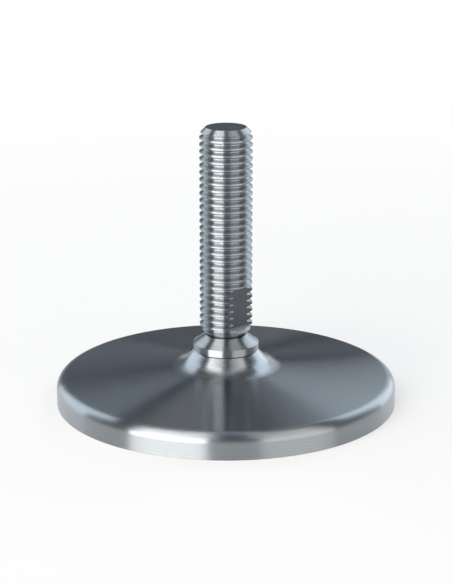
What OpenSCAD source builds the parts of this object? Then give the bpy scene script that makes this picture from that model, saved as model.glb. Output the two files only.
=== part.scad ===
// Machine foot: a round steel base with a threaded spindle on a ball joint.
// Millimetres. The origin is the centre of the underside and +Z runs up the spindle.

/* [Base plate] */
// Diameter of the round base
base_d = 123.8; // [110:0.1:160]
// Height of the rim, to the top of its rounded edge
rim_h = 9.5; // [8:0.1:12]
// Radius of the rounded top edge of the rim
rim_fillet_r = 3.8; // [2:0.1:4.5]
// Rise of the conical top towards the hub, in degrees
plate_slope = 5.5; // [3:0.1:6.5]

/* [Hub] */
// Height of the hub's flat top above the floor
hub_top_h = 20.5; // [19.5:0.1:24]
// Outer diameter of the hub's flat top
hub_top_d = 20.8; // [20.2:0.1:21.6]
// Steepness of the hub's flank, in degrees
hub_flank_angle = 50; // [46:1:54]
// Radius of the hollow between the hub's flank and the conical top
hub_fillet_r = 11; // [6:0.5:14]

/* [Ball joint] */
// Diameter of the spindle's ball
ball_d = 15; // [14:0.1:15.8]
// Steel left under the ball's socket
socket_floor = 2.5; // [2:0.1:3.5]
// Running gap between the ball and its seat
seat_clear = 0.06; // [0.03:0.01:0.1]
// Gap between the ball and the straight bore that it goes in through
bore_clear = 0.15; // [0.05:0.01:0.3]
// Diameter of the spindle's neck, between its ball and its collar
neck_d = 10.2; // [9:0.1:10.8]
// Largest lean of the spindle to any side, in degrees
lean_max = 5; // [2:0.5:5]
// Least gap that is left between the leaning spindle and the hub
lean_clear = 0.25; // [0.15:0.01:0.4]

/* [Retaining ring and seal] */
// Thickness of the retaining ring
ring_t = 1.2; // [0.8:0.1:1.5]
// Depth of the ring's seat in the wall of the bore
ring_seat = 1; // [0.6:0.1:1.3]
// Width of the slot that lets the ring spring into its groove
ring_slot = 3; // [1.5:0.1:5]
// Running gap round the ring in its groove
ring_clear = 0.05; // [0.02:0.01:0.08]
// Least gap between the ball and the ring above it
ring_hold = 0.12; // [0.1:0.01:0.2]
// Thickness of the seal ring's round section
seal_t = 1.6; // [1.2:0.1:1.8]
// Gap between the seal ring and the spindle that it sits on
seal_clear = 0.05; // [0.02:0.01:0.1]

/* [Collar] */
// Diameter of the collar
collar_d = 23.8; // [23.2:0.1:25]
// Height of the collar's straight band
collar_band_h = 2.6; // [2.3:0.05:4]
// Steepness of the collar's conical top, in degrees
collar_top_angle = 34; // [30:1:40]
// Gap between the collar's lip and the hub's flank
collar_gap = 0.47; // [0.3:0.01:0.6]

/* [Thread] */
// Outer diameter of the thread
thread_d = 19.05; // [18:0.05:20]
// Distance from one turn of the thread to the next
thread_pitch = 2.54; // [1.5:0.01:3]
// Length of the threaded part, with both its chamfers
thread_len = 76.2; // [50:0.1:120]
// Size of the chamfer at the top end
top_chamfer = 2.2; // [1.5:0.1:3]
// Diameter at the lower end of the thread, above its relief groove
thread_end_d = 14.2; // [13.5:0.1:14.6]
// Diameter at the bottom of the relief groove between the collar and the thread
relief_d = 12.8; // [12:0.1:13.4]
// Width of that relief groove
relief_w = 0.35; // [0.2:0.05:1]

/* [Wrench flats] */
// Width across the two flats
flats_across = 14.3; // [13:0.1:16]
// Length of the flats
flats_len = 14.8; // [8:0.1:20]
// Height of the flats' lower edge above the start of the thread
flats_start = 4.1; // [3.5:0.1:10]
// Radius of the hollow in which each flat runs out at its lower end
flats_run_out_r = 2.9; // [2.4:0.1:3.5]
// Direction that the flats face, in degrees from the front towards the right
flats_turn = 45; // [0:5:90]

/* [Hidden] */

$fn = 96;
// Overlap that lets a cut run clean through a face
cut = 0.5;
// Number of straight steps in a rounded edge of a turned outline
arc_steps = 14;
// Share of the pitch taken by a crest's flat and by a root's flat, and the thread's depth in pitches
crest_share = 1 / 5;
root_share = 1 / 11;
depth_share = 0.6134;

base_r = base_d / 2;
hub_top_r = hub_top_d / 2;
ball_r = ball_d / 2;
neck_r = neck_d / 2;
collar_r = collar_d / 2;
thread_r = thread_d / 2;
thread_end_r = thread_end_d / 2;
relief_r = relief_d / 2;
root_r = thread_r - depth_share * thread_pitch;

// Ball and socket
ball_z = socket_floor + seat_clear + ball_r;
seat_r = ball_r + seat_clear;
bore_r = ball_r + bore_clear;

// The ring's bore clears the neck as it leans, and its lower edge stays just off the ball
ring_in_r = neck_r + ball_r * sin(lean_max) + bore_clear;
ring_z = ball_z + sqrt(pow(ball_r + ring_hold, 2) - pow(ring_in_r, 2));
groove_r = bore_r + ring_seat;
ring_out_r = groove_r - ring_clear;

// The collar's underside is a roof that clears the hub's flat top when the spindle leans
roof_z = hub_top_h + hub_top_r * sin(lean_max) + lean_clear;
lip_z = flank_z(collar_r) + collar_gap / cos(hub_flank_angle);
roof_r = collar_r - (roof_z - lip_z) / tan(hub_flank_angle);
band_top_z = lip_z + collar_band_h;
relief_lip_r = thread_end_r + relief_w;
relief_z = band_top_z + (collar_r - relief_lip_r) * tan(collar_top_angle);

// Seal ring, and the mouth of the bore that clears it as it leans with the spindle
seal_mid_r = neck_r + seal_clear + seal_t / 2;
seal_z = roof_z - seal_clear - seal_t / 2;
mouth_r = seal_mid_r + (seal_z - ball_z) * sin(lean_max) + seal_t / 2 + lean_clear;
mouth_z = seal_z - seal_mid_r * sin(lean_max) - seal_t / 2 - lean_clear;

// Thread
thread_z = relief_z + relief_w;
top_z = thread_z + thread_len;
flats_z = thread_z + flats_start;

// Height of the hub's flank at radius r
function flank_z(r) = hub_top_h - (r - hub_top_r) * tan(hub_flank_angle);

// Points on an arc round the centre c, where the angle is measured from the vertical
function arc(c, r, from, to) = [
    for (i = [0:arc_steps])
        let (a = from + (to - from) * i / arc_steps)
        [c[0] + r * sin(a), c[1] + r * cos(a)]
];

// Centre of the rim's rounded edge
rim_c = [base_r - rim_fillet_r, rim_h - rim_fillet_r];
// Offsets of the flank and of the conical top along their normals, moved out by the hollow's radius
flank_off = hub_top_r * sin(hub_flank_angle) + hub_top_h * cos(hub_flank_angle) + hub_fillet_r;
cone_off = rim_c[0] * sin(plate_slope) + rim_c[1] * cos(plate_slope) + rim_fillet_r + hub_fillet_r;
// Centre of the hollow, where those two offset lines cross
turn = sin(hub_flank_angle - plate_slope);
hollow_c = [
    (flank_off * cos(plate_slope) - cone_off * cos(hub_flank_angle)) / turn,
    (cone_off * sin(hub_flank_angle) - flank_off * sin(plate_slope)) / turn
];

// Right half of the base's outline, before its bores are cut
module base_outline() {
    polygon(concat(
        [[0, 0], [base_r, 0]],
        arc(rim_c, rim_fillet_r, 90, plate_slope),
        arc(hollow_c, hub_fillet_r, plate_slope - 180, hub_flank_angle - 180),
        [[hub_top_r, hub_top_h], [0, hub_top_h]]
    ));
}

// Round base with its hub, socket, ring groove and widened mouth
module base_plate() {
    color([0.46, 0.50, 0.55])
    difference() {
        rotate_extrude() base_outline();
        translate([0, 0, ball_z]) sphere(r = seat_r);
        translate([0, 0, ball_z]) cylinder(r = bore_r, h = hub_top_h - ball_z + cut);
        translate([0, 0, ring_z - ring_clear]) cylinder(r = groove_r, h = ring_t + 2 * ring_clear);
        translate([0, 0, mouth_z]) cylinder(r = mouth_r, h = hub_top_h - mouth_z + cut);
    }
}

// One groove of the thread, as a notch in the spindle's right-hand outline
module thread_notch(z) {
    crest_half = thread_pitch * (1 - crest_share) / 2;
    root_half = thread_pitch * root_share / 2;
    reach = (crest_half - root_half) * cut / (thread_r - root_r);
    polygon([
        [root_r, z - root_half],
        [root_r, z + root_half],
        [thread_r + cut, z + crest_half + reach],
        [thread_r + cut, z - crest_half - reach]
    ]);
}

// Right half of the spindle's outline from its neck up
module spindle_outline() {
    difference() {
        polygon([
            [0, ball_z],
            [neck_r, ball_z],
            [neck_r, roof_z],
            [roof_r, roof_z],
            [collar_r, lip_z],
            [collar_r, band_top_z],
            [relief_lip_r, relief_z],
            [relief_r, relief_z],
            [relief_r, thread_z],
            [thread_end_r, thread_z],
            [thread_r, thread_z + thread_r - thread_end_r],
            [thread_r, top_z - top_chamfer],
            [thread_r - top_chamfer, top_z],
            [0, top_z]
        ]);
        for (z = [thread_z + thread_pitch : thread_pitch : top_z - thread_pitch / 2])
            thread_notch(z);
    }
}

// What the cutter takes away beside one wrench flat, with the hollow at its lower end
module flat_cut() {
    depth = thread_r - flats_across / 2 + flats_run_out_r;
    translate([flats_across / 2, -thread_r, flats_z]) cube([depth, 2 * thread_r, flats_len]);
    translate([flats_across / 2 + flats_run_out_r, 0, flats_z])
        rotate([90, 0, 0]) cylinder(r = flats_run_out_r, h = 2 * thread_r, center = true);
}

// Spindle: ball, neck, collar, thread and wrench flats in one piece
module spindle() {
    color([0.62, 0.67, 0.72])
    difference() {
        union() {
            translate([0, 0, ball_z]) sphere(r = ball_r);
            rotate_extrude() spindle_outline();
        }
        for (side = [0, 180])
            rotate([0, 0, flats_turn - 90 + side]) flat_cut();
    }
}

// Retaining ring that keeps the ball in its socket, slotted so that it springs in
module snap_ring() {
    color([0.30, 0.31, 0.33])
    translate([0, 0, ring_z])
    difference() {
        cylinder(r = ring_out_r, h = ring_t);
        translate([0, 0, -cut]) cylinder(r = ring_in_r, h = ring_t + 2 * cut);
        translate([0, -ring_slot / 2, -cut]) cube([ring_out_r + cut, ring_slot, ring_t + 2 * cut]);
    }
}

// Rubber seal ring on the neck, under the collar
module seal_ring() {
    color([0.08, 0.08, 0.09])
    translate([0, 0, seal_z])
    rotate_extrude() translate([seal_mid_r, 0]) circle(r = seal_t / 2);
}

base_plate();
spindle();
snap_ring();
seal_ring();
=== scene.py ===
"""Machine foot: the finish of every surface, the studio and the camera. Metres."""

import math

import bmesh
import bpy
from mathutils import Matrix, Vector


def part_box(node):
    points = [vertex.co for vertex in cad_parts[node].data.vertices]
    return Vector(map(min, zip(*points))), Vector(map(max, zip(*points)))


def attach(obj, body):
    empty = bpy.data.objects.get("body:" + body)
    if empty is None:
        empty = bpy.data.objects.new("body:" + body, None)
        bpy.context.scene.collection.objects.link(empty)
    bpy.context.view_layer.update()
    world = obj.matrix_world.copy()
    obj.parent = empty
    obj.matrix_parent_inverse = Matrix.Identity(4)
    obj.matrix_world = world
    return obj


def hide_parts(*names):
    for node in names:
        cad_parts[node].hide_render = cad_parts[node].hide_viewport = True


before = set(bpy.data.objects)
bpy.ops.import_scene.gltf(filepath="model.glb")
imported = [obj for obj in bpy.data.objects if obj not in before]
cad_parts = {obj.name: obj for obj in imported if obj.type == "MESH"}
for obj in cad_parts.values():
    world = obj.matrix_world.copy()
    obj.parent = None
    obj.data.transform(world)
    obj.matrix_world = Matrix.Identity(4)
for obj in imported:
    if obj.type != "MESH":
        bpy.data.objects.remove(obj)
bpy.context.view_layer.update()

# Sizes of the base that its box doesn't give, as in the part's source
RIM_H = 0.0095
RIM_FILLET_R = 0.0038
PLATE_SLOPE = math.radians(5.5)
HUB_TOP_R = 0.0104
HUB_FLANK = math.radians(50)
HUB_FILLET_R = 0.011

# Ball joint
BALL_R = 0.0075
SOCKET_FLOOR = 0.0025
SEAT_CLEAR = 0.00006
BORE_CLEAR = 0.00015
NECK_R = 0.0051
LEAN_MAX = math.radians(5)
LEAN_CLEAR = 0.00025
RING_T = 0.0012
RING_SEAT = 0.001
RING_CLEAR = 0.00005
RING_HOLD = 0.00012
SEAL_T = 0.0016
SEAL_CLEAR = 0.00005

# Collar and relief groove
COLLAR_BAND_H = 0.0026
COLLAR_GAP = 0.00047
THREAD_END_R = 0.0071
RELIEF_R = 0.0064
RELIEF_W = 0.00035
# How far the shank goes up into the thread, so that the two join
SHANK_REACH = RELIEF_R / 4

# Thread and wrench flats
THREAD_R = 0.009525
PITCH = 0.00254
THREAD_LEN = 0.0762
THREAD_DEPTH = 0.6134 * PITCH
CREST_SHARE = 1 / 5
ROOT_SHARE = 0.15
ROOT_FILLET_R = 0.1 * PITCH
TOP_CHAMFER = 0.0022
FLAT_D = 0.00715
FLAT_LEN = 0.0148
FLAT_START = 0.0041
RUN_OUT_R = 0.0029
FLATS_TURN = math.radians(45)

# How finely the turned pieces are divided, round the axis and along the arcs of their outlines
BASE_STEPS = 256
SPINDLE_STEPS = 128
ARC_STEP = math.radians(4)
ROOT_STEP = math.radians(20)
# A point closer to the axis than this lies on it
ON_AXIS = 1e-7
# Distance of a supporting point from its corner, and the shortest straight run that gets two of them
SUPPORT = 0.0003
SUPPORTED_RUN = 3 * SUPPORT
# Shading breaks at an edge that turns by more than this
SHARP = math.radians(28)

_, base_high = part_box("base_plate")
_, spindle_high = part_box("spindle")
base_r = base_high.x
hub_top_z = base_high.z
collar_r = spindle_high.x
top_z = spindle_high.z
thread_z = top_z - THREAD_LEN
flats_z = thread_z + FLAT_START

# Heights inside the joint, worked out as in the part's source
ball_z = SOCKET_FLOOR + SEAT_CLEAR + BALL_R
seat_r = BALL_R + SEAT_CLEAR
bore_r = BALL_R + BORE_CLEAR
ring_in_r = NECK_R + BALL_R * math.sin(LEAN_MAX) + BORE_CLEAR
ring_z = ball_z + math.sqrt((BALL_R + RING_HOLD) ** 2 - ring_in_r ** 2)
groove_r = bore_r + RING_SEAT
roof_z = hub_top_z + HUB_TOP_R * math.sin(LEAN_MAX) + LEAN_CLEAR
lip_z = hub_top_z - (collar_r - HUB_TOP_R) * math.tan(HUB_FLANK) + COLLAR_GAP / math.cos(HUB_FLANK)
roof_r = collar_r - (roof_z - lip_z) / math.tan(HUB_FLANK)
relief_z = thread_z - RELIEF_W
seal_mid_r = NECK_R + SEAL_CLEAR + SEAL_T / 2
seal_z = roof_z - SEAL_CLEAR - SEAL_T / 2
mouth_r = seal_mid_r + (seal_z - ball_z) * math.sin(LEAN_MAX) + SEAL_T / 2 + LEAN_CLEAR
mouth_z = seal_z - seal_mid_r * math.sin(LEAN_MAX) - SEAL_T / 2 - LEAN_CLEAR


# Outlines

def arc(centre, r, start, end, step=ARC_STEP):
    """Points on an arc in the outline's plane; the angles are measured from straight up."""
    steps = max(2, round(abs(end - start) / step))
    angles = [start + (end - start) * i / steps for i in range(steps + 1)]
    return [(centre[0] + r * math.sin(a), centre[1] + r * math.cos(a)) for a in angles]


def supported(outline):
    """The outline with a point near both ends of each long straight run, to keep its shading flat."""
    points = [outline[0]]
    for (r0, z0), (r1, z1) in zip(outline, outline[1:]):
        length = math.hypot(r1 - r0, z1 - z0)
        if length > SUPPORTED_RUN:
            for share in (SUPPORT / length, 1 - SUPPORT / length):
                points.append((r0 + (r1 - r0) * share, z0 + (z1 - z0) * share))
        points.append((r1, z1))
    return points


def base_outline():
    """Round the base from the middle of its underside, over rim and hub, and down into the socket."""
    rim = (base_r - RIM_FILLET_R, RIM_H - RIM_FILLET_R)
    # The hollow's centre, where the flank and the conical top cross once both are moved out by its radius
    flank_off = HUB_TOP_R * math.sin(HUB_FLANK) + hub_top_z * math.cos(HUB_FLANK) + HUB_FILLET_R
    cone_off = rim[0] * math.sin(PLATE_SLOPE) + rim[1] * math.cos(PLATE_SLOPE) + RIM_FILLET_R + HUB_FILLET_R
    turn = math.sin(HUB_FLANK - PLATE_SLOPE)
    hollow = (
        (flank_off * math.cos(PLATE_SLOPE) - cone_off * math.cos(HUB_FLANK)) / turn,
        (cone_off * math.sin(HUB_FLANK) - flank_off * math.sin(PLATE_SLOPE)) / turn,
    )
    outside = [(0, 0), (base_r, 0)]
    outside += arc(rim, RIM_FILLET_R, math.pi / 2, PLATE_SLOPE)
    outside += arc(hollow, HUB_FILLET_R, PLATE_SLOPE - math.pi, HUB_FLANK - math.pi)
    outside += [(HUB_TOP_R, hub_top_z), (mouth_r, hub_top_z), (mouth_r, mouth_z), (bore_r, mouth_z)]
    groove_low = ring_z - RING_CLEAR
    groove_high = ring_z + RING_T + RING_CLEAR
    inside = [(bore_r, groove_high), (groove_r, groove_high), (groove_r, groove_low), (bore_r, groove_low)]
    inside += [(bore_r, ball_z)]
    inside += arc((0, ball_z), seat_r, math.pi / 2, math.pi)
    return outside + inside


def shank_outline():
    """Round the spindle's plain end: ball, neck, collar and relief groove, closed inside the thread."""
    neck_turn = math.asin(NECK_R / BALL_R)
    points = arc((0, ball_z), BALL_R, math.pi, neck_turn)
    points += [(NECK_R, roof_z), (roof_r, roof_z), (collar_r, lip_z), (collar_r, lip_z + COLLAR_BAND_H)]
    points += [(THREAD_END_R + RELIEF_W, relief_z), (RELIEF_R, relief_z), (RELIEF_R, thread_z)]
    points += [(RELIEF_R, thread_z + SHANK_REACH), (0, thread_z + SHANK_REACH)]
    return points


def grooves_outline():
    """Up a rod with the thread's grooves, which runs past both ends of the thread."""
    crest = PITCH * (1 - CREST_SHARE) / 2
    root = PITCH * ROOT_SHARE / 2
    root_r = THREAD_R - THREAD_DEPTH
    flank = math.atan((crest - root) / THREAD_DEPTH)
    # The hollows between the flanks and the bottom of the groove
    hollow_r = root_r + ROOT_FILLET_R
    hollow_out = root - ROOT_FILLET_R * math.tan((math.pi / 2 - flank) / 2)
    points = [(0, thread_z - PITCH), (THREAD_R, thread_z - PITCH)]
    for n in range(1, round(THREAD_LEN / PITCH)):
        z = thread_z + n * PITCH
        points.append((THREAD_R, z - crest))
        points += arc((hollow_r, z - hollow_out), ROOT_FILLET_R, flank - math.pi, -math.pi / 2, ROOT_STEP)
        points += arc((hollow_r, z + hollow_out), ROOT_FILLET_R, -math.pi / 2, -flank, ROOT_STEP)
        points.append((THREAD_R, z + crest))
    return points + [(THREAD_R, top_z + PITCH), (0, top_z + PITCH)]


def thread_envelope():
    """The plain form that the grooved rod is turned down to, with a chamfer at each end."""
    return [
        (0, thread_z),
        (THREAD_END_R, thread_z),
        (THREAD_R + PITCH, thread_z + THREAD_R + PITCH - THREAD_END_R),
        (THREAD_R + PITCH, top_z - TOP_CHAMFER - PITCH),
        (THREAD_R - TOP_CHAMFER, top_z),
        (0, top_z),
    ]


# Meshes

def new_object(name, work):
    """A mesh object in the scene, made from the faces in work."""
    mesh = bpy.data.meshes.new(name)
    work.to_mesh(mesh)
    work.free()
    piece = bpy.data.objects.new(name, mesh)
    bpy.context.scene.collection.objects.link(piece)
    return piece


def lathe(name, outline, steps):
    """A closed mesh: the outline turned round the Z axis. Points on the axis become single vertices."""
    work = bmesh.new()
    rings = []
    for r, z in outline:
        if r < ON_AXIS:
            rings.append([work.verts.new((0, 0, z))] * steps)
        else:
            angles = [math.tau * i / steps for i in range(steps)]
            rings.append([work.verts.new((r * math.cos(a), r * math.sin(a), z)) for a in angles])
    for low, high in zip(rings, rings[1:]):
        for i in range(steps):
            corners = [low[i], low[(i + 1) % steps], high[(i + 1) % steps], high[i]]
            corners = [v for n, v in enumerate(corners) if v not in corners[:n]]
            work.faces.new(corners)
    bmesh.ops.recalc_face_normals(work, faces=work.faces)
    return new_object(name, work)


def flat_cutter(name, turned):
    """What the cutter takes away beside one wrench flat, facing +X before it is turned round Z."""
    back = FLAT_D + RUN_OUT_R
    upper = flats_z + FLAT_LEN
    half_travel = 2 * THREAD_R
    side = [(FLAT_D, upper)]
    side += arc((back, flats_z), RUN_OUT_R, -math.pi / 2, -math.pi)
    side += [(back, upper)]
    work = bmesh.new()
    ends = []
    for y in (-half_travel, half_travel):
        spots = [Vector((x, y, z)) for x, z in side]
        ends.append([work.verts.new((
            p.x * math.cos(turned) - p.y * math.sin(turned),
            p.x * math.sin(turned) + p.y * math.cos(turned),
            p.z,
        )) for p in spots])
    near, far = ends
    work.faces.new(near)
    work.faces.new(far)
    for n in range(len(side)):
        m = (n + 1) % len(side)
        work.faces.new((near[n], near[m], far[m], far[n]))
    bmesh.ops.recalc_face_normals(work, faces=work.faces)
    return new_object(name, work)


def combine(piece, operation, other):
    """Applies a boolean of piece and other, and deletes other."""
    step = piece.modifiers.new(operation, "BOOLEAN")
    step.operation = operation
    step.object = other
    step.solver = "MANIFOLD"
    shown = piece.evaluated_get(bpy.context.evaluated_depsgraph_get())
    mesh = bpy.data.meshes.new_from_object(shown)
    piece.modifiers.clear()
    piece.data = mesh
    bpy.data.objects.remove(other)


def smooth(piece):
    """Smooth shading that breaks at sharp edges."""
    piece.data.polygons.foreach_set("use_smooth", [True] * len(piece.data.polygons))
    piece.data.set_sharp_from_angle(angle=SHARP)


# Materials

BASE_STEEL = (0.323, 0.348, 0.366)
SPINDLE_STEEL = (0.342, 0.372, 0.390)
# Much darker than the turned steel: painted dark reflection on the wrench flats and the top of their
# run-outs, and painted shade in the relief groove
MILLED_STEEL_PAINTED_DARK = (0.095, 0.105, 0.117)
# Lighter colour that the run-outs fade to lower down their hollow: painted reflection of the curve turning
# up
RUN_OUT_PAINTED_REFLECTION = (0.39, 0.415, 0.427)
RING_STEEL = (0.195, 0.2, 0.22)
RUBBER_COLOUR = (0.02, 0.02, 0.022, 1)

# The range that a noise node's values mostly lie in
NOISE_LOW = 0.3
NOISE_HIGH = 0.7

# Distance between two of the tool's lines
BASE_LINES = 0.0013
SPINDLE_LINES = 0.0005
# Distances from the axis, each with the roughness and the stretch of the highlights there
BASE_ZONES = [
    (0.0170, 0.27, 0.72),
    (0.0220, 0.24, 1.0),
    (0.0575, 0.24, 1.0),
    (0.0610, 0.30, 1.0),
    (base_r, 0.30, 1.0),
]
SPINDLE_ZONES = [
    (0.0070, 0.28, 0.4),
    (0.0076, 0.31, 1.0),
    (collar_r, 0.31, 1.0),
]
# Noise of turned steel: its scales, counted in lines, and how far it moves on round the axis
FINE_SCALE = 2.0
BROAD_SCALE = 0.1
TURNED_DETAIL = 2.0
ROUND_AXIS = 0.12
# Shares of turned steel's colour and roughness that its noise runs between
TURNED_SHADES = (0.90, 1.09)
TURNED_ROUGH = (0.96, 1.04)
# Depth of a line as a share of the distance to the next one, its effect on the colour, and its grain
LINE_DEPTH = 0.0006
LINE_SHADE = 0.13
LINE_GRAIN = 0.08
# A quarter turn, which stretches highlights across the lines instead of along them
QUARTER_TURN = 0.25

# Marks of the mill: how fast they change along X, Y and Z, their shares and their depth
MARKS_SCALE = (60, 60, 2500)
MARKS_DETAIL = 3.0
MILLED_SHADES = (0.97, 1.03)
MILLED_ROUGH = (0.94, 1.06)
MARKS_DEPTH = 0.0000002
# Roughness of each milled surface, and how far down its hollow a run-out's colour has faded from dark to the
# lighter painted reflection, in radii
FLATS_ROUGH = 0.28
RUN_OUTS_ROUGH = 0.50
RING_ROUGH = 0.4
FADE_REACH = 0.7

# Grain of the rubber
GRAIN_SCALE = 3000.0
GRAIN_DETAIL = 2.0
GRAIN_ROUGH = (0.55, 0.75)
GRAIN_DEPTH = 0.00003
GRAIN_STRENGTH = 0.2


class Nodes:
    """A new material's node tree, with short calls to add and link nodes."""

    def __init__(self, name):
        self.material = bpy.data.materials.new(name)
        self.material.use_nodes = True
        self.tree = self.material.node_tree
        self.shader = self.tree.nodes["Principled BSDF"]

    def add(self, kind, **settings):
        """A new node with these settings."""
        node = self.tree.nodes.new(kind)
        for key, value in settings.items():
            setattr(node, key, value)
        return node

    def link(self, source, target):
        """Links an output to an input."""
        self.tree.links.new(source, target)

    def math(self, operation, *values):
        """The result of a math node on sockets and plain numbers."""
        node = self.add("ShaderNodeMath", operation=operation)
        for socket, value in zip(node.inputs, values):
            if isinstance(value, (int, float)):
                socket.default_value = value
            else:
                self.link(value, socket)
        return node.outputs[0]

    def noise(self, vector, scale, detail):
        """A noise node's value at vector."""
        node = self.add("ShaderNodeTexNoise")
        self.link(vector, node.inputs["Vector"])
        node.inputs["Scale"].default_value = scale
        node.inputs["Detail"].default_value = detail
        return node.outputs["Fac"]

    def spread(self, value, low, high):
        """A noise's value, spread between low and high."""
        node = self.add("ShaderNodeMapRange")
        self.link(value, node.inputs["Value"])
        node.inputs["From Min"].default_value = NOISE_LOW
        node.inputs["From Max"].default_value = NOISE_HIGH
        node.inputs["To Min"].default_value = low
        node.inputs["To Max"].default_value = high
        return node.outputs["Result"]

    def shaded(self, colour, shades, factor):
        """The colour, which goes from its first share in shades to its second one with factor."""
        mix = self.add("ShaderNodeMix", data_type="RGBA")
        self.link(factor, mix.inputs["Factor"])
        for socket, share in zip(("A", "B"), shades):
            mix.inputs[socket].default_value = (*[c * share for c in colour], 1)
        return mix.outputs["Result"]

    def bump(self, height, depth, strength=1.0):
        """Gives the surface the relief in height, with depth in metres."""
        node = self.add("ShaderNodeBump")
        node.inputs["Strength"].default_value = strength
        node.inputs["Distance"].default_value = depth
        self.link(height, node.inputs["Height"])
        self.link(node.outputs[0], self.shader.inputs["Normal"])


def turned_steel(name, colour, spacing, zones):
    """Steel off a lathe: fine lines run round the axis, so highlights stretch across them."""
    n = Nodes(name)
    place = n.add("ShaderNodeTexCoord").outputs["Object"]
    split = n.add("ShaderNodeSeparateXYZ")
    n.link(place, split.inputs[0])
    x, y, z = split.outputs
    radius = n.math("SQRT", n.math("ADD", n.math("MULTIPLY", x, x), n.math("MULTIPLY", y, y)))
    angle = n.math("ARCTAN2", y, x)

    # Noise that changes fast along the outline and slowly round the axis
    joined = n.add("ShaderNodeCombineXYZ")
    n.link(n.math("DIVIDE", radius, spacing), joined.inputs[0])
    n.link(n.math("DIVIDE", z, spacing), joined.inputs[1])
    n.link(n.math("MULTIPLY", n.math("SINE", angle), ROUND_AXIS), joined.inputs[2])
    fine = n.noise(joined.outputs[0], FINE_SCALE, TURNED_DETAIL)
    broad = n.noise(joined.outputs[0], BROAD_SCALE, TURNED_DETAIL)

    # Lines that the tool left, one to a turn of the lathe
    along = n.math("ADD", radius, z)
    wave = n.math("SINE", n.math("MULTIPLY", along, math.tau / spacing))
    clouds = n.spread(broad, NOISE_LOW, NOISE_HIGH)
    painted = n.shaded(colour, TURNED_SHADES, n.math("ADD", clouds, n.math("MULTIPLY", wave, LINE_SHADE)))
    n.link(painted, n.shader.inputs["Base Color"])

    # Roughness and stretch run from each zone to the next
    ramp = n.add("ShaderNodeValToRGB")
    stops = ramp.color_ramp.elements
    reach = zones[-1][0]
    while len(stops) < len(zones):
        stops.new(1.0)
    for stop, (distance, roughness, stretch) in zip(stops, zones):
        stop.position = distance / reach
        stop.color = (roughness, stretch, 0, 1)
    n.link(n.math("DIVIDE", radius, reach), ramp.inputs[0])
    parts = n.add("ShaderNodeSeparateColor")
    n.link(ramp.outputs[0], parts.inputs[0])
    n.link(n.math("MULTIPLY", parts.outputs[0], n.spread(fine, *TURNED_ROUGH)), n.shader.inputs["Roughness"])
    n.link(parts.outputs[1], n.shader.inputs["Anisotropic"])

    n.bump(n.math("ADD", wave, n.math("MULTIPLY", fine, LINE_GRAIN)), spacing * LINE_DEPTH)
    tangent = n.add("ShaderNodeTangent", direction_type="RADIAL", axis="Z")
    n.link(tangent.outputs[0], n.shader.inputs["Tangent"])
    n.shader.inputs["Metallic"].default_value = 1.0
    n.shader.inputs["Anisotropic Rotation"].default_value = QUARTER_TURN
    return n.material


def milled_steel(name, colour, roughness, low_colour=None, fade=(0, 1)):
    """Steel off a mill: faint straight marks across the flat.

    With a low_colour, the colour fades to it from the upper height in fade down to the lower one: a painted
    reflection that turns lighter lower down.
    """
    n = Nodes(name)
    place = n.add("ShaderNodeTexCoord").outputs["Object"]
    stretch = n.add("ShaderNodeMapping")
    stretch.inputs["Scale"].default_value = MARKS_SCALE
    n.link(place, stretch.inputs["Vector"])
    marks = n.noise(stretch.outputs[0], 1.0, MARKS_DETAIL)
    painted = n.shaded(colour, MILLED_SHADES, n.spread(marks, 0, 1))
    # Painted reflection: the colour turns to low_colour lower down
    if low_colour:
        split = n.add("ShaderNodeSeparateXYZ")
        n.link(place, split.inputs[0])
        height = n.add("ShaderNodeMapRange")
        n.link(split.outputs["Z"], height.inputs["Value"])
        height.inputs["From Min"].default_value = fade[0]
        height.inputs["From Max"].default_value = fade[1]
        fading = n.add("ShaderNodeMix", data_type="RGBA")
        n.link(height.outputs["Result"], fading.inputs["Factor"])
        fading.inputs["A"].default_value = (*low_colour, 1)
        n.link(painted, fading.inputs["B"])
        painted = fading.outputs["Result"]
    n.link(painted, n.shader.inputs["Base Color"])
    rough = [roughness * share for share in MILLED_ROUGH]
    n.link(n.spread(marks, *rough), n.shader.inputs["Roughness"])
    n.bump(marks, MARKS_DEPTH)
    n.shader.inputs["Metallic"].default_value = 1.0
    return n.material


def rubber(name):
    """Matt black rubber with a faint grain."""
    n = Nodes(name)
    place = n.add("ShaderNodeTexCoord").outputs["Object"]
    grain = n.noise(place, GRAIN_SCALE, GRAIN_DETAIL)
    n.link(n.spread(grain, *GRAIN_ROUGH), n.shader.inputs["Roughness"])
    n.bump(grain, GRAIN_DEPTH, GRAIN_STRENGTH)
    n.shader.inputs["Base Color"].default_value = RUBBER_COLOUR
    return n.material


# Pieces

# Places of the two milled materials in the spindle's slots, after the turned one
FLATS = 1
RUN_OUTS = 2
# Most that a milled face's normal may point along the cutter's travel
SQUARE_TO = 0.02


def make_base():
    """The base in one turned piece, with its socket, its ring groove and its widened mouth."""
    piece = lathe("turned_base", supported(base_outline()), BASE_STEPS)
    smooth(piece)
    piece.data.materials.append(turned_steel("base_turned", BASE_STEEL, BASE_LINES, BASE_ZONES))
    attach(piece, "base")
    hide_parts("base_plate")


def is_milled(face):
    """True on a wrench flat or in the hollow below it."""
    facing = Vector((math.sin(FLATS_TURN), -math.cos(FLATS_TURN), 0))
    travel = Vector((math.cos(FLATS_TURN), math.sin(FLATS_TURN), 0))
    out = abs(face.center.dot(facing))
    level = flats_z - RUN_OUT_R < face.center.z < flats_z + FLAT_LEN
    square = abs(face.normal.dot(travel)) < SQUARE_TO
    return level and square and abs(out - FLAT_D) < RUN_OUT_R and out < THREAD_R


def is_relief(face):
    """True in the narrow groove between the collar and the thread."""
    level = relief_z - SUPPORT < face.center.z < thread_z + SUPPORT
    return level and face.center.xy.length < THREAD_END_R


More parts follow.
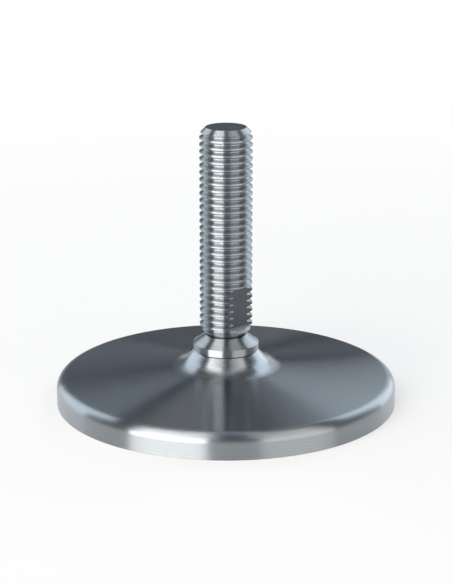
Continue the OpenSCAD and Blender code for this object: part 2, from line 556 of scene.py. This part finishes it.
def make_spindle():
    """The spindle in one piece: thread, wrench flats, collar, neck and ball."""
    piece = lathe("threaded_spindle", grooves_outline(), SPINDLE_STEPS)
    combine(piece, "INTERSECT", lathe("envelope", thread_envelope(), SPINDLE_STEPS))
    for turned in (FLATS_TURN - math.pi / 2, FLATS_TURN + math.pi / 2):
        combine(piece, "DIFFERENCE", flat_cutter("cutter", turned))
    combine(piece, "UNION", lathe("shank", supported(shank_outline()), SPINDLE_STEPS))
    smooth(piece)
    piece.data.materials.clear()
    # Painted reflection in the run-outs: the flats' dark colour at the top, turning lighter down the hollow
    fade = (flats_z - RUN_OUT_R * FADE_REACH, flats_z)
    for material in (
        turned_steel("spindle_turned", SPINDLE_STEEL, SPINDLE_LINES, SPINDLE_ZONES),
        # The flats' dark colour is a painted dark reflection
        milled_steel("flats_milled_painted_dark", MILLED_STEEL_PAINTED_DARK, FLATS_ROUGH),
        milled_steel("run_outs_painted_reflection", MILLED_STEEL_PAINTED_DARK, RUN_OUTS_ROUGH, RUN_OUT_PAINTED_REFLECTION, fade),
    ):
        piece.data.materials.append(material)
    # The hollows are shaded smooth and the flats flat; the groove gets the flats' dark colour, which paints
    # the shade in that narrow gap
    for face in piece.data.polygons:
        if is_milled(face):
            face.material_index = FLATS if face.center.z > flats_z else RUN_OUTS
            face.use_smooth = face.center.z < flats_z
        elif is_relief(face):
            # Painted shade in the relief groove
            face.material_index = FLATS
    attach(piece, "spindle")
    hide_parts("spindle")


def dress_hidden_rings():
    """Materials for the two CAD nodes that stay, inside the hub."""
    rings = {"snap_ring": milled_steel("ring_spring", RING_STEEL, RING_ROUGH), "seal_ring": rubber("seal")}
    for node, material in rings.items():
        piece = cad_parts[node]
        piece.data.materials.clear()
        piece.data.materials.append(material)


# Studio

FLOOR_R = 30.0
FLOOR_STEPS = 128
FLOOR_COLOUR = (0.94, 0.93, 0.92, 1)
FLOOR_ROUGH = 0.9
# Share of plain white in the floor round the part, and the distances between which it grows to all of it
WHITE_NEAR = 0.5
WHITE_FROM = 0.1
WHITE_AT = 0.6

# Two colours of the room, each at its height: 0 is level and 1 is straight up
ROOM = [
    (0.1, (0.114, 0.127, 0.145, 1)),
    (0.7, (0.114, 0.127, 0.152, 1)),
]

LAMP_DISTANCE = 2.0
PALE_BLUE = (0.84, 0.92, 1.0)
WARM = (1.0, 0.97, 0.92)
# Directions that more than one lamp fills, in degrees: round the part, then up from level
KEY_SIDE = (-64, -12)
FILL_SIDE = (22, 73)
BACK_LEFT = (-150, -104)
FRONT_LOW = (0, 14)
FRONT_HIGH = (14, 60)
BACK_LOW = (0, 15)
BACK_HIGH = (15, 50)
BACK_EDGE = (0, 50)
# Depth of the two large lamps overhead, from front to back
OVER_FRONT = (-0.66, -0.04)

# Camera as worked out from the photograph, with the optical axis above the middle of the image
CAMERA_PLACE = (0, -0.64402, 0.23360)
CAMERA_DOWN = 16.0996
CAMERA_SENSOR = 36
CAMERA_NEAR = 0.01
IMAGE_H_PX = 584
FOCAL_PX = 1855.76
AXIS_ABOVE_PX = 18.69


def make_floor():
    """A pale floor that keeps the part's shadow and turns plain white further out."""
    work = bmesh.new()
    bmesh.ops.create_circle(work, cap_ends=True, radius=FLOOR_R, segments=FLOOR_STEPS)
    floor = new_object("floor", work)
    n = Nodes("floor_pale")
    n.shader.inputs["Base Color"].default_value = FLOOR_COLOUR
    n.shader.inputs["Roughness"].default_value = FLOOR_ROUGH
    n.shader.inputs["Specular IOR Level"].default_value = 0.0

    # Plain white for the camera and for reflections, mixed into the lit floor that keeps the part's shadow
    place = n.add("ShaderNodeTexCoord").outputs["Object"]
    reach = n.add("ShaderNodeVectorMath", operation="LENGTH")
    n.link(place, reach.inputs[0])
    far = n.add("ShaderNodeMapRange", interpolation_type="SMOOTHSTEP")
    n.link(reach.outputs["Value"], far.inputs["Value"])
    far.inputs["From Min"].default_value = WHITE_FROM
    far.inputs["From Max"].default_value = WHITE_AT
    far.inputs["To Min"].default_value = WHITE_NEAR
    ray = n.add("ShaderNodeLightPath").outputs
    mirrored = n.math("MAXIMUM", ray["Is Glossy Ray"], ray["Is Transmission Ray"])
    seen = n.math("MAXIMUM", ray["Is Camera Ray"], mirrored)
    white = n.add("ShaderNodeEmission")
    blend = n.add("ShaderNodeMixShader")
    n.link(n.math("MULTIPLY", far.outputs["Result"], seen), blend.inputs[0])
    n.link(n.shader.outputs[0], blend.inputs[1])
    n.link(white.outputs[0], blend.inputs[2])
    n.link(blend.outputs[0], n.tree.nodes["Material Output"].inputs["Surface"])
    floor.data.materials.append(n.material)


def make_world():
    """A dim blue-grey room, a little bluer overhead."""
    world = bpy.data.worlds.new("studio")
    world.use_nodes = True
    bpy.context.scene.world = world
    tree = world.node_tree
    ground = tree.nodes["Background"]
    place = tree.nodes.new("ShaderNodeTexCoord")
    split = tree.nodes.new("ShaderNodeSeparateXYZ")
    ramp = tree.nodes.new("ShaderNodeValToRGB")
    tree.links.new(place.outputs["Generated"], split.inputs[0])
    tree.links.new(split.outputs["Z"], ramp.inputs[0])
    tree.links.new(ramp.outputs[0], ground.inputs["Color"])
    for stop, (height, colour) in zip(ramp.color_ramp.elements, ROOM):
        stop.position = height
        stop.color = colour


def area_lamp(name, size, place, radiance, colour):
    """An even lamp that the camera doesn't see, level and facing down until it is turned."""
    data = bpy.data.lights.new(name, "AREA")
    data.shape = "RECTANGLE"
    data.size, data.size_y = size
    data.energy = radiance * math.pi * data.size * data.size_y
    data.color = colour
    lamp = bpy.data.objects.new(name, data)
    bpy.context.scene.collection.objects.link(lamp)
    lamp.location = place
    lamp.visible_camera = False
    return lamp


def on_sphere(azimuth, elevation, distance):
    """A place round the part: azimuth 0 is the front and grows to the right, both angles in degrees."""
    a, e = math.radians(azimuth), math.radians(elevation)
    return Vector((math.sin(a) * math.cos(e), -math.cos(a) * math.cos(e), math.sin(e))) * distance


def softbox(name, azimuths, elevations, radiance, colour):
    """An even lamp that fills the given range of directions as seen from the part, in degrees."""
    width = math.radians(azimuths[1] - azimuths[0])
    height = math.radians(elevations[1] - elevations[0])
    azimuth = sum(azimuths) / 2
    elevation = sum(elevations) / 2
    size = (
        2 * LAMP_DISTANCE * math.tan(width / 2) * math.cos(math.radians(elevation)),
        2 * LAMP_DISTANCE * math.tan(height / 2),
    )
    lamp = area_lamp(name, size, on_sphere(azimuth, elevation, LAMP_DISTANCE), radiance, colour)
    lamp.rotation_euler = lamp.location.to_track_quat("Z", "Y").to_euler()


def overhead(name, across, along, radiance, colour):
    """An even lamp that hangs level above the part; its reach to the right and to the back, in metres."""
    size = (across[1] - across[0], along[1] - along[0])
    area_lamp(name, size, (sum(across) / 2, sum(along) / 2, LAMP_DISTANCE), radiance, colour)


def make_lights():
    """Lamps placed after the photograph's reflections, each with its directions, level and colour."""
    softbox("key_low", KEY_SIDE, FRONT_LOW, 14.3, WARM)
    softbox("key_high", KEY_SIDE, FRONT_HIGH, 1.8, WARM)
    softbox("fill_low", FILL_SIDE, FRONT_LOW, 3.25, WARM)
    softbox("fill_high", FILL_SIDE, FRONT_HIGH, 0.98, WARM)
    softbox("back_left_low", BACK_LEFT, BACK_LOW, 1.8, PALE_BLUE)
    softbox("back_left_high", BACK_LEFT, BACK_HIGH, 1.72, PALE_BLUE)
    softbox("back_left_edge", (-172, -150), BACK_EDGE, 0.09, PALE_BLUE)
    softbox("back_right_low", (122, 156), BACK_LOW, 2.13, PALE_BLUE)
    softbox("back_right_high", (116, 156), BACK_HIGH, 1.85, PALE_BLUE)
    softbox("back_right_edge", (156, 170), BACK_EDGE, 0.86, PALE_BLUE)
    overhead("top_left", (-1.6, -0.22), OVER_FRONT, 3.45, WARM)
    overhead("top_right", (0.3, 1.6), OVER_FRONT, 1.23, WARM)
    overhead("top", (-0.3, 0.3), (-0.2, 0.8), 0.7, PALE_BLUE)


def make_camera():
    """At the photograph's viewing angle, worked out for an image of 452 by 584 pixels."""
    data = bpy.data.cameras.new("camera")
    data.sensor_width = CAMERA_SENSOR
    data.lens = FOCAL_PX / IMAGE_H_PX * data.sensor_width
    data.shift_y = -AXIS_ABOVE_PX / IMAGE_H_PX
    data.clip_start = CAMERA_NEAR
    camera = bpy.data.objects.new("camera", data)
    bpy.context.scene.collection.objects.link(camera)
    camera.location = CAMERA_PLACE
    camera.rotation_euler = (math.radians(90 - CAMERA_DOWN), 0, 0)
    bpy.context.scene.camera = camera


make_base()
make_spindle()
dress_hidden_rings()
make_floor()
make_world()
make_lights()
make_camera()
bpy.context.scene.view_settings.view_transform = "Standard"
